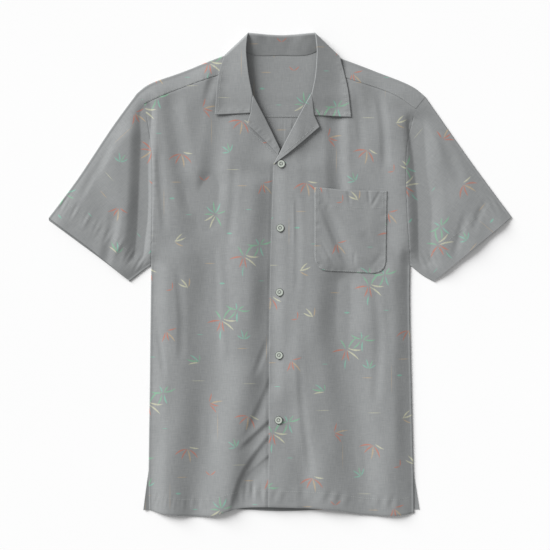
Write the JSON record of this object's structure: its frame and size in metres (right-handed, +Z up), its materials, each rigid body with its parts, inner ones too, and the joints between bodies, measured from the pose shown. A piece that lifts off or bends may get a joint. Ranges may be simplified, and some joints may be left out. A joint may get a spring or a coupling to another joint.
{
  "type": "hawaiian shirt laid flat",
  "caption": "Short-sleeved camp shirt with a notched collar, a chest pocket and a buttoned front, laid flat face up.",
  "frame": {"origin": "on the surface that the shirt lies on, under the middle of its outline", "axes": "+Z up from the surface, out of the shirt's face; +Y to the collar; +X to the wearer's left"},
  "size_m": [0.7414, 0.7736, 0.0164],
  "materials": {
    "shirt_cloth": "plain woven grey cloth with slubs and a small leaf print in green, coral and cream",
    "button": "cast resin, grey-green, with a dark turned rim"
  },
  "bodies": {
    "root": {"back": "shirt_cloth", "yoke": "shirt_cloth", "front_right": "shirt_cloth", "front_left": "shirt_cloth", "sleeve_right": "shirt_cloth", "sleeve_left": "shirt_cloth", "facing_right": "shirt_cloth", "facing_left": "shirt_cloth", "collar": "shirt_cloth", "pocket": "shirt_cloth", "button_1": "button", "button_2": "button", "button_3": "button", "button_4": "button", "button_5": "button"}
  },
  "joints": []
}
